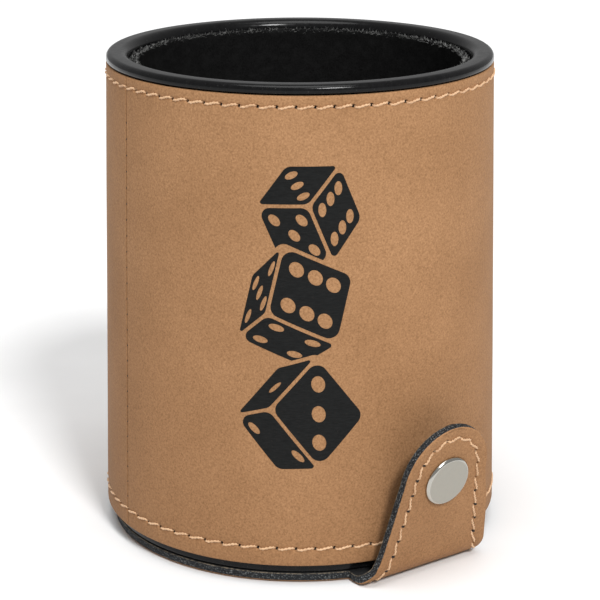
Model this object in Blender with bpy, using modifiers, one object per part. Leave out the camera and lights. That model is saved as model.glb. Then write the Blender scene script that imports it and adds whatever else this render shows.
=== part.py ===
"""Leather dice cup with a store for the dice below its floor.

A moulded tub, lined with felt, stands in a sewn leatherette wrap. Its wall
leans in slightly towards the top. The store under the tub's floor is closed
by a leatherette base flap, which hangs on a tongue at the back. A tab at the
front folds up from the flap, and a press stud holds it to the wrap.

Units are metres, +Z is up. The origin is on the cup's axis, on the surface
that the cup stands on. The tab faces -Y and the flap's hinge is at +Y.
"""

import math

import bmesh
import bpy
from mathutils import Matrix

MM = 0.001
GAP = 0.3 * MM
SEGMENTS = 72
SMALL_SEGMENTS = 28

# Tub and wrap
HEIGHT = 101.3 * MM
WRAP_RADIUS = 42.0 * MM
WRAP_TOP_RADIUS = 39.85 * MM
WRAP_THICKNESS = 1.2 * MM
WRAP_BOTTOM = 4.1 * MM
WRAP_TOP = 99.3 * MM
TAPER = (WRAP_RADIUS - WRAP_TOP_RADIUS) / (WRAP_TOP - WRAP_BOTTOM)
SEAM_AZIMUTH = math.radians(-96.5)
SEAM_WIDTH = 0.25 * MM
EDGE_ROUND = 0.3 * MM
TUB_INSET = WRAP_THICKNESS + GAP
TUB_WALL = 3.15 * MM
BORE_INSET = TUB_INSET + TUB_WALL
RIM_ROUND = 1.1 * MM
RIM_INNER_ROUND = 1.8 * MM
SKIRT_CHAMFER = 0.4 * MM
STORE_HEIGHT = 18.2 * MM
FLOOR_THICKNESS = 2.0 * MM
FELT_THICKNESS = 1.2 * MM
FELT_TOP = HEIGHT - 1.8 * MM

# Sewing thread, lying in shallow grooves
THREAD_RADIUS = 0.2 * MM
TOP_ROW = 97.1 * MM
BOTTOM_ROW = 7.8 * MM
GROOVE_HALF_WIDTH = 0.55 * MM
GROOVE_DEPTH = 0.55 * MM

# Leatherette of the base flap and tab: an outer skin and an inner backing
SKIN = 1.0 * MM
BACKING = 0.6 * MM
SHEET = SKIN + GAP + BACKING
BASE_RADIUS = 40.35 * MM
BASE_THREAD_RING = 37.4 * MM
BOARD_RADIUS = 36.3 * MM
BOARD_THICKNESS = 1.2 * MM
BASE_FELT_THICKNESS = 0.8 * MM
TUB_BOTTOM = SHEET + GAP

# Back hinge: a leather tongue under the wrap, and the axis that the flap turns on
HINGE_HALF_WIDTH = 10.0 * MM
HINGE_AXIS_Y = 40.6 * MM
HINGE_AXIS_Z = 1.0 * MM
TONGUE_THICKNESS = 0.95 * MM
TONGUE_TOP = 16.0 * MM

# Front fold: the sheet bends up round FOLD_CENTRE and leans outward
LEAN = math.radians(13.0)
BEND = math.radians(90.0) - LEAN
FOLD_RADIUS = 5.0 * MM
FOLD_CENTRE_Y = -39.3 * MM
FOLD_PIVOT_RADIUS = 4.35 * MM
FOLD_HALF_GAP = math.radians(7.0)
FOLD_HALF_WIDTH = 17.0 * MM
EAR_ROOT = 15.9 * MM

# Tab outline, with lengths measured up the sheet from the end of the bend
TAB_HALF_WIDTH = 10.7 * MM
TAB_TAPER = 0.155
TAB_FLARE = 0.5 * MM
TAB_FLARE_LENGTH = 1.3 * MM
TAB_ROUND_START = 18.4 * MM
TAB_ROUND_HEIGHT = 11.4 * MM
TAB_STITCH_INSET = 2.8 * MM
TAB_STITCH_TOP_INSET = 2.1 * MM

# Press stud
SNAP_HEIGHT = 17.8 * MM
CAP_RADIUS = 5.4 * MM
CAP_FACE_RADIUS = 4.6 * MM
CAP_THICKNESS = 1.0 * MM
SHANK_RADIUS = 1.1 * MM
SHANK_HOLE_RADIUS = SHANK_RADIUS + GAP
SOCKET_RADIUS = 4.5 * MM
SOCKET_THICKNESS = 2.1 * MM
SOCKET_MOUTH_RADIUS = 2.4 * MM
STUD_Z = 21.95 * MM
STUD_FLANGE_RADIUS = 4.3 * MM
STUD_FLANGE_THICKNESS = 0.6 * MM
STUD_NIPPLE_RADIUS = 1.9 * MM
STUD_NIPPLE_LENGTH = 2.7 * MM
POST_HEAD_RADIUS = 4.2 * MM
POST_HEAD_THICKNESS = 0.5 * MM
POST_HEAD_DEPTH = 0.3 * MM

parts = bpy.data.collections.new("leather_dice_cup")
cutters = bpy.data.collections.new("cutters")


def clear_scene():
    """Remove whatever the scene starts with."""
    for obj in list(bpy.data.objects):
        bpy.data.objects.remove(obj, do_unlink=True)
    bpy.context.scene.collection.children.link(parts)
    bpy.context.scene.collection.children.link(cutters)


def material(name, colour, roughness, metallic=0.0):
    """A plain Principled material."""
    made = bpy.data.materials.new(name)
    made.use_nodes = True
    shader = made.node_tree.nodes["Principled BSDF"]
    shader.inputs["Base Color"].default_value = (*colour, 1.0)
    shader.inputs["Roughness"].default_value = roughness
    shader.inputs["Metallic"].default_value = metallic
    return made


def add_part(name, mesh, made_of, parent=None):
    """Make a named part from a mesh and give it its material."""
    obj = bpy.data.objects.new(name, mesh)
    mesh.materials.clear()
    mesh.materials.append(made_of)
    parts.objects.link(obj)
    if parent:
        obj.parent = parent
        obj.matrix_parent_inverse = parent.matrix_world.inverted()
    return obj


def add_cutter(name, mesh):
    """Make an object that only cuts others."""
    obj = bpy.data.objects.new(name, mesh)
    obj.hide_render = True
    obj.display_type = "WIRE"
    cutters.objects.link(obj)
    return obj


def place(obj, matrix):
    """Put an object where the matrix says, in world space."""
    bpy.context.view_layer.update()
    obj.matrix_world = matrix
    bpy.context.view_layer.update()


def smooth(mesh, degrees=35.0):
    """Shade smooth, with edges over the given angle left sharp."""
    mesh.shade_smooth()
    mesh.set_sharp_from_angle(angle=math.radians(degrees))


def arc(centre_x, centre_z, radius, start, end, steps):
    """Points on an arc in the XZ plane. Angles are in degrees from +X towards +Z."""
    points = []
    for step in range(steps + 1):
        angle = math.radians(start + (end - start) * step / steps)
        points.append((centre_x + radius * math.cos(angle), centre_z + radius * math.sin(angle)))
    return points


def turned_mesh(name, profile, closed, segments=SEGMENTS):
    """Turn a profile round Z with a Screw modifier. It runs down its outer side."""
    mesh = bpy.data.meshes.new(name)
    edges = [(index, index + 1) for index in range(len(profile) - 1)]
    if closed:
        edges.append((len(profile) - 1, 0))
    mesh.from_pydata([(x, 0.0, z) for x, z in profile], edges, [])
    guide = bpy.data.objects.new(name + "_profile", mesh)
    bpy.context.scene.collection.objects.link(guide)
    screw = guide.modifiers.new("turn", "SCREW")
    screw.axis = "Z"
    screw.angle = math.tau
    screw.steps = segments
    screw.render_steps = segments
    screw.use_merge_vertices = True
    screw.merge_threshold = 0.00001
    return baked_mesh(guide, name)


def baked_mesh(guide, name):
    """Take the evaluated mesh of a guide object and remove the guide."""
    bpy.context.view_layer.update()
    graph = bpy.context.evaluated_depsgraph_get()
    mesh = bpy.data.meshes.new_from_object(guide.evaluated_get(graph))
    mesh.name = name
    mesh.transform(guide.matrix_world)
    data = guide.data
    bpy.data.objects.remove(guide, do_unlink=True)
    if isinstance(data, bpy.types.Curve):
        bpy.data.curves.remove(data)
        weld(mesh)
    smooth(mesh)
    return mesh


def weld(mesh):
    """Join the loose caps of a mesh that came from a curve."""
    work = bmesh.new()
    work.from_mesh(mesh)
    bmesh.ops.remove_doubles(work, verts=work.verts, dist=0.000002)
    bmesh.ops.recalc_face_normals(work, faces=work.faces)
    work.to_mesh(mesh)
    work.free()


def plate_mesh(name, outline, bottom, top):
    """A flat plate with the given outline in XY, between two heights."""
    curve = bpy.data.curves.new(name, "CURVE")
    curve.dimensions = "2D"
    curve.fill_mode = "BOTH"
    curve.extrude = (top - bottom) / 2
    spline = curve.splines.new("POLY")
    spline.points.add(len(outline) - 1)
    for point, (x, y) in zip(spline.points, outline):
        point.co = (x, y, 0.0, 1.0)
    spline.use_cyclic_u = True
    guide = bpy.data.objects.new(name + "_outline", curve)
    guide.location.z = (top + bottom) / 2
    bpy.context.scene.collection.objects.link(guide)
    return baked_mesh(guide, name)


def tube_mesh(name, route, radius):
    """A tube of the given radius along a route of 3-D points."""
    curve = bpy.data.curves.new(name, "CURVE")
    curve.dimensions = "3D"
    curve.bevel_depth = radius
    curve.bevel_resolution = 1
    curve.use_fill_caps = True
    spline = curve.splines.new("POLY")
    spline.points.add(len(route) - 1)
    for point, place_on_route in zip(spline.points, route):
        point.co = (*place_on_route, 1.0)
    guide = bpy.data.objects.new(name + "_route", curve)
    bpy.context.scene.collection.objects.link(guide)
    return baked_mesh(guide, name)


def cylinder_mesh(name, radius, bottom, top):
    """A small cylinder on Z between two heights."""
    return turned_mesh(name, [(0, top), (radius, top), (radius, bottom), (0, bottom)], False, SMALL_SEGMENTS)


def wall_layer_mesh(name, outer_inset, inner_inset, bottom, top):
    """A layer of the tapered wall between two insets from the wrap's outer face."""
    profile = [(wall_radius(top, outer_inset), top), (wall_radius(bottom, outer_inset), bottom)]
    profile += [(wall_radius(bottom, inner_inset), bottom), (wall_radius(top, inner_inset), top)]
    return turned_mesh(name, profile, True)


def box_mesh(name, low, high):
    """A box between two corners."""
    outline = [(low[0], low[1]), (high[0], low[1]), (high[0], high[1]), (low[0], high[1])]
    return plate_mesh(name, outline, low[2], high[2])


def boolean(obj, cutter, operation="DIFFERENCE"):
    """Cut an object with a cutter, or keep only what is inside it."""
    modifier = obj.modifiers.new(cutter.name, "BOOLEAN")
    modifier.object = cutter
    modifier.operation = operation
    modifier.solver = "EXACT"


def facing_front(y, z):
    """Turn local +Z to face -Y, from a point on the wall."""
    return Matrix.Translation((0.0, y, z)) @ Matrix.Rotation(math.radians(90.0), 4, "X")


def tab_frame():
    """Local +Y runs up the leaning tab and +Z points out of its face, from the fold's centre."""
    turn = Matrix.Rotation(math.radians(90.0) + LEAN, 4, "X")
    return Matrix.Translation((0.0, FOLD_CENTRE_Y, FOLD_RADIUS)) @ turn


def fold_pivot():
    """The point inside the bent leather that the tab turns about."""
    half = BEND / 2
    y = FOLD_CENTRE_Y - FOLD_PIVOT_RADIUS * math.sin(half)
    z = FOLD_RADIUS - FOLD_PIVOT_RADIUS * math.cos(half)
    return (0.0, y, z)


def wall_radius(height, inset=0.0):
    """Radius of the wrap's outer face at a height, or of a face further in."""
    return WRAP_RADIUS - TAPER * (height - WRAP_BOTTOM) - inset


def stud_back_y():
    """The back of the stud's flange, clear of the wrap at the flange's lower edge."""
    return -wall_radius(STUD_Z - STUD_FLANGE_RADIUS) - GAP


def post_head_y():
    """The front of the post's head, sunk into the tub's wall."""
    return -wall_radius(STUD_Z, TUB_INSET + POST_HEAD_DEPTH)


def add_axis(name, location, parent=None):
    """An empty on a joint's axis, which carries the pieces that move."""
    axis = bpy.data.objects.new(name, None)
    parts.objects.link(axis)
    axis.parent = parent
    place(axis, Matrix.Translation(location))
    return axis


def sheet_side(radius, start, end, run_before, run_after, steps=6):
    """One side of the bent sheet, in distance from the fold's centre and height."""
    points = []
    if run_before:
        points.append((-run_before, FOLD_RADIUS - radius))
    for step in range(steps + 1):
        angle = start + (end - start) * step / steps
        points.append((radius * math.sin(angle), FOLD_RADIUS - radius * math.cos(angle)))
    if run_after:
        last_x, last_z = points[-1]
        points.append((last_x + run_after * math.cos(end), last_z + run_after * math.sin(end)))
    return points


def bent_sheet_mesh(name, inner, outer, start, end, run_before, run_after):
    """A layer of leather that lies flat, bends up round the fold's centre, or both."""
    outline = sheet_side(outer, start, end, run_before, run_after)
    outline += reversed(sheet_side(inner, start, end, run_before, run_after))
    mesh = plate_mesh(name, outline, -WRAP_RADIUS, WRAP_RADIUS)
    side_on = Matrix(((0, 0, -1, 0), (-1, 0, 0, FOLD_CENTRE_Y), (0, 1, 0, 0), (0, 0, 0, 1)))
    mesh.transform(side_on)
    return mesh


def base_outline():
    """The flap seen from above: a disc with a straight fold in front and a hinge edge behind."""
    front = FOLD_CENTRE_Y - FOLD_RADIUS
    hinge_edge = HINGE_AXIS_Y - GAP
    first = math.asin(EAR_ROOT / BASE_RADIUS)
    last = math.pi - math.asin(HINGE_HALF_WIDTH / BASE_RADIUS)
    side = [(FOLD_HALF_WIDTH, front), (FOLD_HALF_WIDTH, FOLD_CENTRE_Y)]
    steps = 26
    for step in range(steps + 1):
        angle = first + (last - first) * step / steps
        side.append((BASE_RADIUS * math.sin(angle), -BASE_RADIUS * math.cos(angle)))
    side.append((HINGE_HALF_WIDTH, hinge_edge))
    return side + [(-x, y) for x, y in reversed(side)]


def tab_half_width(height):
    """Half the tab's width at a height up the sheet, below its round end."""
    flare = TAB_FLARE * math.exp(-height / TAB_FLARE_LENGTH)
    return min(TAB_HALF_WIDTH + TAB_TAPER * (TAB_ROUND_START - height) + flare, FOLD_HALF_WIDTH)


def tab_route(inset, top_inset, bottom, side_steps=8, round_steps=14):
    """Points up one side of the tab, round its end and down the other side."""
    side = []
    for step in range(side_steps):
        share = step / side_steps
        height = bottom + (TAB_ROUND_START - bottom) * share ** 1.5
        side.append((tab_half_width(height) - inset, height))
    end = []
    for step in range(round_steps + 1):
        angle = math.pi * step / round_steps
        x = (TAB_HALF_WIDTH - inset) * math.cos(angle)
        end.append((x, TAB_ROUND_START + (TAB_ROUND_HEIGHT - top_inset) * math.sin(angle)))
    return side + end + [(-x, y) for x, y in reversed(side)]


def build_tub(plastic):
    """The moulded tub: wall, floor, and the rolled rim that covers the wrap's top edge."""
    floor_top = TUB_BOTTOM + BOARD_THICKNESS + GAP + BASE_FELT_THICKNESS + STORE_HEIGHT + FLOOR_THICKNESS
    floor_bottom = floor_top - FLOOR_THICKNESS
    rim_bottom = WRAP_TOP + GAP
    inner_start = HEIGHT - RIM_INNER_ROUND
    inner_centre = wall_radius(inner_start, BORE_INSET) + RIM_INNER_ROUND
    outer_side = wall_radius(rim_bottom)
    profile = [(0, floor_top), (wall_radius(floor_top, BORE_INSET), floor_top)]
    profile += arc(inner_centre, inner_start, RIM_INNER_ROUND, 180, 90, 5)
    profile += arc(outer_side - RIM_ROUND, HEIGHT - RIM_ROUND, RIM_ROUND, 90, 0, 4)
    profile += [(outer_side, rim_bottom), (wall_radius(rim_bottom, TUB_INSET), rim_bottom)]
    skirt = wall_radius(TUB_BOTTOM, TUB_INSET)
    profile += [(skirt, TUB_BOTTOM + SKIRT_CHAMFER), (skirt - SKIRT_CHAMFER, TUB_BOTTOM)]
    profile += [(wall_radius(TUB_BOTTOM, BORE_INSET), TUB_BOTTOM)]
    profile += [(wall_radius(floor_bottom, BORE_INSET), floor_bottom), (0, floor_bottom)]
    tub = add_part("cup_shell", turned_mesh("cup_shell", profile, False), plastic)

    pocket_inset = TUB_INSET + TONGUE_THICKNESS + GAP
    pocket = wall_layer_mesh("tongue_pocket", 0.0, pocket_inset, 0.0, TONGUE_TOP + GAP)
    pocket = add_cutter("tongue_pocket", pocket)
    reach = HINGE_HALF_WIDTH + GAP
    window = box_mesh("tongue_window", (-reach, 0.0, -MM), (reach, HEIGHT, TONGUE_TOP + 2 * MM))
    boolean(pocket, add_cutter("tongue_window", window), "INTERSECT")
    boolean(tub, pocket)

    depth = POST_HEAD_THICKNESS + GAP
    head_pocket = cylinder_mesh("post_head_pocket", POST_HEAD_RADIUS + GAP, -depth, 3 * MM)
    head_pocket = add_cutter("post_head_pocket", head_pocket)
    place(head_pocket, facing_front(post_head_y(), STUD_Z))
    boolean(tub, head_pocket)
    return floor_top


def build_linings(felt, floor_top):
    """Felt on the wall and floor of the cup."""
    outer_inset = BORE_INSET + GAP
    inner_inset = outer_inset + FELT_THICKNESS
    bottom = floor_top + GAP
    wall = wall_layer_mesh("wall_lining", outer_inset, inner_inset, bottom, FELT_TOP)
    add_part("wall_lining", wall, felt)
    top = bottom + FELT_THICKNESS
    radius = wall_radius(top, inner_inset + GAP)
    floor = turned_mesh("floor_lining", [(0, top), (radius, top), (radius, bottom), (0, bottom)], False)
    add_part("floor_lining", floor, felt)


def thread_groove(row):
    """The profile of a groove for a row of stitches in the wrap."""
    floor = wall_radius(row, GROOVE_DEPTH)
    above = row + GROOVE_HALF_WIDTH
    below = row - GROOVE_HALF_WIDTH
    return [
        (wall_radius(above), above),
        (floor, row + GROOVE_HALF_WIDTH / 2),
        (floor, row - GROOVE_HALF_WIDTH / 2),
        (wall_radius(below), below),
    ]


def build_wrap(leather, thread):
    """The wrap, with its butt seam, its two rows of stitches and the stud's hole."""
    below_top = WRAP_TOP - EDGE_ROUND
    above_bottom = WRAP_BOTTOM + EDGE_ROUND
    profile = [(wall_radius(WRAP_TOP, EDGE_ROUND), WRAP_TOP), (wall_radius(below_top), below_top)]
    profile += thread_groove(TOP_ROW) + thread_groove(BOTTOM_ROW)
    profile += [(wall_radius(above_bottom), above_bottom), (WRAP_RADIUS - EDGE_ROUND, WRAP_BOTTOM)]
    profile += [(wall_radius(WRAP_BOTTOM, WRAP_THICKNESS), WRAP_BOTTOM)]
    profile += [(wall_radius(WRAP_TOP, WRAP_THICKNESS), WRAP_TOP)]
    wrap = add_part("outer_wrap", turned_mesh("outer_wrap", profile, True), leather)

    half = SEAM_WIDTH / 2
    innermost = wall_radius(WRAP_TOP, WRAP_THICKNESS) - MM
    slit = box_mesh("seam_slit", (-half, -WRAP_RADIUS - MM, 0.0), (half, -innermost, HEIGHT))
    slit = add_cutter("seam_slit", slit)
    place(slit, Matrix.Rotation(SEAM_AZIMUTH, 4, "Z"))
    boolean(wrap, slit)

    hole = add_cutter("stud_hole", cylinder_mesh("stud_hole", SHANK_HOLE_RADIUS, 0.0, 6 * MM))
    place(hole, facing_front(-wall_radius(STUD_Z, BORE_INSET), STUD_Z))
    boolean(wrap, hole)

    for name, row in (("top_edge_thread", TOP_ROW), ("bottom_edge_thread", BOTTOM_ROW)):
        centre = wall_radius(row, GROOVE_DEPTH) + GAP + THREAD_RADIUS
        circle = list(reversed(arc(centre, row, THREAD_RADIUS, 0, 300, 5)))
        add_part(name, turned_mesh(name, circle, True), thread)


def build_stud(metal):
    """The wrap's half of the press stud, and the post that is riveted into it."""
    flange_back = stud_back_y()
    nipple_end = STUD_FLANGE_THICKNESS + STUD_NIPPLE_LENGTH
    bore_end = nipple_end - 0.6 * MM
    round_off = 0.5 * MM
    profile = [(0, nipple_end)]
    profile += arc(STUD_NIPPLE_RADIUS - round_off, nipple_end - round_off, round_off, 90, 0, 3)
    profile += [(STUD_NIPPLE_RADIUS - 0.2 * MM, STUD_FLANGE_THICKNESS + 0.5 * MM)]
    profile += [(STUD_NIPPLE_RADIUS, STUD_FLANGE_THICKNESS), (STUD_FLANGE_RADIUS, STUD_FLANGE_THICKNESS)]
    profile += [(STUD_FLANGE_RADIUS, 0), (SHANK_HOLE_RADIUS, 0), (SHANK_HOLE_RADIUS, bore_end), (0, bore_end)]
    stud = add_part("snap_stud", turned_mesh("snap_stud", profile, False, SMALL_SEGMENTS), metal)
    place(stud, facing_front(flange_back, STUD_Z))

    shank_end = post_head_y() - flange_back + bore_end - GAP
    head = POST_HEAD_THICKNESS
    profile = [(0, shank_end), (SHANK_RADIUS, shank_end), (SHANK_RADIUS, 0), (POST_HEAD_RADIUS, 0)]
    profile += [(POST_HEAD_RADIUS, -head), (0, -head)]
    post = add_part("snap_stud_post", turned_mesh("snap_stud_post", profile, False, SMALL_SEGMENTS), metal)
    place(post, facing_front(post_head_y(), STUD_Z))


def build_tongue(leather):
    """The hinge tongue, sewn in behind the wrap."""
    inner_inset = TUB_INSET + TONGUE_THICKNESS
    bottom = TUB_BOTTOM + GAP
    tongue = wall_layer_mesh("hinge_tongue", TUB_INSET, inner_inset, bottom, TONGUE_TOP)
    tongue = add_part("hinge_tongue", tongue, leather)
    reach = HINGE_HALF_WIDTH
    window = box_mesh("tongue_width", (-reach, 0.0, 0.0), (reach, HEIGHT, TONGUE_TOP + MM))
    boolean(tongue, add_cutter("tongue_width", window), "INTERSECT")


def build_base_flap(leather, dark_leather, board, felt, thread, axis):
    """The flap's skin and backing, its thread, its stiff board and its felt."""
    hinge_edge = HINGE_AXIS_Y - GAP
    flat = hinge_edge - FOLD_CENTRE_Y
    split = BEND / 2 - FOLD_HALF_GAP
    outline = plate_mesh("base_outline", base_outline(), -MM, FOLD_RADIUS)
    outline = add_cutter("base_outline", outline)

    skin = bent_sheet_mesh("base_skin", FOLD_RADIUS - SKIN, FOLD_RADIUS, 0.0, split, flat, 0.0)
    skin = add_part("base_skin", skin, leather, axis)
    boolean(skin, outline, "INTERSECT")
    thread_z = THREAD_RADIUS + 0.05 * MM
    groove = list(reversed(arc(BASE_THREAD_RING, thread_z, THREAD_RADIUS + GAP, 0, 300, 5)))
    groove = add_cutter("base_groove", turned_mesh("base_groove", groove, True))
    boolean(skin, groove)
    circle = list(reversed(arc(BASE_THREAD_RING, thread_z, THREAD_RADIUS, 0, 300, 5)))
    add_part("base_thread", turned_mesh("base_thread", circle, True), thread, axis)

    inner = FOLD_RADIUS - SHEET
    backing = bent_sheet_mesh("base_backing", inner, inner + BACKING, 0.0, split, flat, 0.0)
    backing = add_part("base_backing", backing, dark_leather, axis)
    boolean(backing, outline, "INTERSECT")

    low = SHEET + GAP
    high = low + BOARD_THICKNESS
    disc = [(0, high), (BOARD_RADIUS, high), (BOARD_RADIUS, low), (0, low)]
    add_part("base_board", turned_mesh("base_board", disc, False), board, axis)
    low = high + GAP
    high = low + BASE_FELT_THICKNESS
    radius = BOARD_RADIUS - GAP
    disc = [(0, high), (radius, high), (radius, low), (0, low)]
    add_part("base_lining", turned_mesh("base_lining", disc, False), felt, axis)


def build_tab(leather, dark_leather, thread, axis):
    """The tab's skin and backing, cut to its outline, and its thread."""
    frame = tab_frame()
    start = BEND / 2 + FOLD_HALF_GAP
    run = TAB_ROUND_START + TAB_ROUND_HEIGHT + MM
    outline = plate_mesh("tab_outline", tab_route(0.0, 0.0, -FOLD_RADIUS), 0.0, 2 * FOLD_RADIUS)
    outline = add_cutter("tab_outline", outline)
    place(outline, frame)
    hole = add_cutter("cap_shank_hole", cylinder_mesh("cap_shank_hole", SHANK_HOLE_RADIUS, 0.0, 2 * FOLD_RADIUS))
    place(hole, frame @ Matrix.Translation((0.0, SNAP_HEIGHT, 0.0)))

    skin = bent_sheet_mesh("tab_skin", FOLD_RADIUS - SKIN, FOLD_RADIUS, start, BEND, 0.0, run)
    skin = add_part("tab_skin", skin, leather, axis)
    inner = FOLD_RADIUS - SHEET
    backing = bent_sheet_mesh("tab_backing", inner, inner + BACKING, start, BEND, 0.0, run)
    backing = add_part("tab_backing", backing, dark_leather, axis)
    for layer in (skin, backing):
        boolean(layer, outline, "INTERSECT")
        boolean(layer, hole)

    stitches = tab_route(TAB_STITCH_INSET, TAB_STITCH_TOP_INSET, 0.6 * MM)
    route = [(x, y, FOLD_RADIUS) for x, y in stitches]
    groove = add_cutter("tab_groove", tube_mesh("tab_groove", route, THREAD_RADIUS + GAP))
    place(groove, frame)
    boolean(skin, groove)
    sewing = add_part("tab_thread", tube_mesh("tab_thread", route[1:-1], THREAD_RADIUS), thread, axis)
    place(sewing, frame)


def build_snap(metal, axis):
    """The tab's half of the press stud: the cap outside and the socket inside."""
    on_tab = tab_frame() @ Matrix.Translation((0.0, SNAP_HEIGHT, 0.0))
    face = FOLD_RADIUS + GAP
    top = face + CAP_THICKNESS
    shank_end = FOLD_RADIUS - SHEET
    profile = [(0, top), (CAP_FACE_RADIUS, top - 0.1 * MM), (CAP_FACE_RADIUS + 0.5 * MM, top - 0.4 * MM)]
    profile += [(CAP_RADIUS, face + 0.2 * MM), (CAP_RADIUS - 0.1 * MM, face), (SHANK_RADIUS, face)]
    profile += [(SHANK_RADIUS, shank_end), (0, shank_end)]
    cap = add_part("snap_cap", turned_mesh("snap_cap", profile, False, SMALL_SEGMENTS + 8), metal, axis)
    place(cap, on_tab)

    outer_end = FOLD_RADIUS - SHEET - GAP
    inner_end = outer_end - SOCKET_THICKNESS
    chamfer = 0.4 * MM
    profile = [(SOCKET_RADIUS, outer_end), (SOCKET_RADIUS, inner_end + chamfer)]
    profile += [(SOCKET_RADIUS - chamfer, inner_end), (SOCKET_MOUTH_RADIUS + chamfer, inner_end)]
    profile += [(SOCKET_MOUTH_RADIUS, inner_end + chamfer), (SOCKET_MOUTH_RADIUS, outer_end)]
    socket = add_part("snap_socket", turned_mesh("snap_socket", profile, True, SMALL_SEGMENTS), metal, axis)
    place(socket, on_tab)


def main():
    clear_scene()
    leather = material("tan_leatherette", (0.42, 0.23, 0.12), 0.6)
    dark_leather = material("black_backing", (0.02, 0.018, 0.016), 0.7)
    plastic = material("black_plastic", (0.012, 0.012, 0.012), 0.3)
    felt = material("black_felt", (0.015, 0.015, 0.015), 0.95)
    board = material("grey_board", (0.2, 0.19, 0.17), 0.9)
    thread = material("peach_thread", (0.8, 0.6, 0.45), 0.7)
    metal = material("nickel", (0.65, 0.63, 0.6), 0.3, 1.0)

    floor_top = build_tub(plastic)
    build_linings(felt, floor_top)
    build_wrap(leather, thread)
    build_stud(metal)
    build_tongue(leather)
    flap_axis = add_axis("base_hinge_axis", (0.0, HINGE_AXIS_Y, HINGE_AXIS_Z))
    build_base_flap(leather, dark_leather, board, felt, thread, flap_axis)
    tab_axis = add_axis("tab_fold_axis", fold_pivot(), flap_axis)
    build_tab(leather, dark_leather, thread, tab_axis)
    build_snap(metal, tab_axis)


main()
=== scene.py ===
import random
from math import asin, cos, degrees, exp, hypot, pi, radians, sin, sqrt, tan, tau

import bmesh
import bpy
from mathutils import Matrix, Vector, noise


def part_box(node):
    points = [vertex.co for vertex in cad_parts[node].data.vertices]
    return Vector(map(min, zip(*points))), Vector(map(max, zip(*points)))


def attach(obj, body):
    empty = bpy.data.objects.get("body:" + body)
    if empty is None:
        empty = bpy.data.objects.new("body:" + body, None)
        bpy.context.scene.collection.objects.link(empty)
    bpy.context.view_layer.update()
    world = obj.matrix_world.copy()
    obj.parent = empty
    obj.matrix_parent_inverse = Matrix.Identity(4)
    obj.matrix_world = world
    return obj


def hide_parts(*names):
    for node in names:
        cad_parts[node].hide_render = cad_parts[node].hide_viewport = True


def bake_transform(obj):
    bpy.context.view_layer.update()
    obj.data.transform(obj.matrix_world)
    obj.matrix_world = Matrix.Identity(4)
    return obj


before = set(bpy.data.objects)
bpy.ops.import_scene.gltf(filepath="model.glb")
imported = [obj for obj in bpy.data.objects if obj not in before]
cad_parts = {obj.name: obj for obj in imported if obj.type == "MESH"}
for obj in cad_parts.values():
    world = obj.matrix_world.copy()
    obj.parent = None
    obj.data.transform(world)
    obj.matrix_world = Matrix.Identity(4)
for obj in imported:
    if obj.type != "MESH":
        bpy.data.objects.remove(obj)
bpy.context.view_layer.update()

MM = 0.001
GAP = 0.3

# ---- sizes read from the frame


def box_mm(node):
    """A node's lowest and highest corners in millimetres."""
    low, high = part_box(node)
    return low / MM, high / MM


def ring_radius(node, low, high):
    """The largest distance from the cup's axis of a node's corners between two heights."""
    corners = [corner.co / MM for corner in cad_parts[node].data.vertices]
    return max(hypot(c.x, c.y) for c in corners if low <= c.z <= high)


WRAP_BOTTOM = box_mm("outer_wrap")[0].z
WRAP_TOP = box_mm("outer_wrap")[1].z
WRAP_LOW_RADIUS = ring_radius("outer_wrap", WRAP_BOTTOM, WRAP_BOTTOM + 1)
WRAP_HIGH_RADIUS = ring_radius("outer_wrap", WRAP_TOP - 1, WRAP_TOP)
TAPER = (WRAP_LOW_RADIUS - WRAP_HIGH_RADIUS) / (WRAP_TOP - WRAP_BOTTOM)
HEIGHT = box_mm("cup_shell")[1].z
TUB_BOTTOM = box_mm("cup_shell")[0].z
FLOOR_TOP = box_mm("floor_lining")[0].z - GAP
FELT_TOP = box_mm("wall_lining")[1].z
TOP_ROW = sum(corner.z for corner in box_mm("top_edge_thread")) / 2
BOTTOM_ROW = sum(corner.z for corner in box_mm("bottom_edge_thread")) / 2
BASE_RADIUS = box_mm("base_skin")[1].x
HINGE_EDGE = box_mm("base_skin")[1].y
BACKING_THICKNESS = 0.6
SHEET = box_mm("base_backing")[0].z + BACKING_THICKNESS
STUD_Z = sum(corner.z for corner in box_mm("snap_stud")) / 2
STUD_BACK = -box_mm("snap_stud")[1].y

# ---- the design's other driving sizes

WRAP_THICKNESS = 1.2
TUB_INSET = WRAP_THICKNESS + GAP
TUB_WALL = 3.15
BORE_INSET = TUB_INSET + TUB_WALL
FELT_THICKNESS = 1.2
FLOOR_THICKNESS = 2.0
SEAM_AZIMUTH = radians(-96.5)
FOLD_CENTRE_Y = -39.3
FOLD_RADIUS = 5.0
LEAN = radians(13.0)
BEND = radians(90.0) - LEAN
BEND_LENGTH = FOLD_RADIUS * BEND
FOLD_HALF_WIDTH = 16.1
EAR_ROOT = 15.9
HINGE_HALF_WIDTH = 10.0
TAB_HALF_WIDTH = 10.7
TAB_TAPER = 0.155
TAB_ROUND_START = 18.4
TAB_ROUND_HEIGHT = 11.4
SNAP_HEIGHT = 17.8
STITCH_INSET = 2.6
STITCHES_ROUND = 68
STITCH_ANGLE = tau / STITCHES_ROUND
STITCH_LENGTH = 3.5
THREAD_RADIUS = 0.195
MOTIF_AZIMUTH = radians(-37.3)
MOTIF_RADIUS = 41.0

chance = random.Random(7)


# ---- materials


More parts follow.
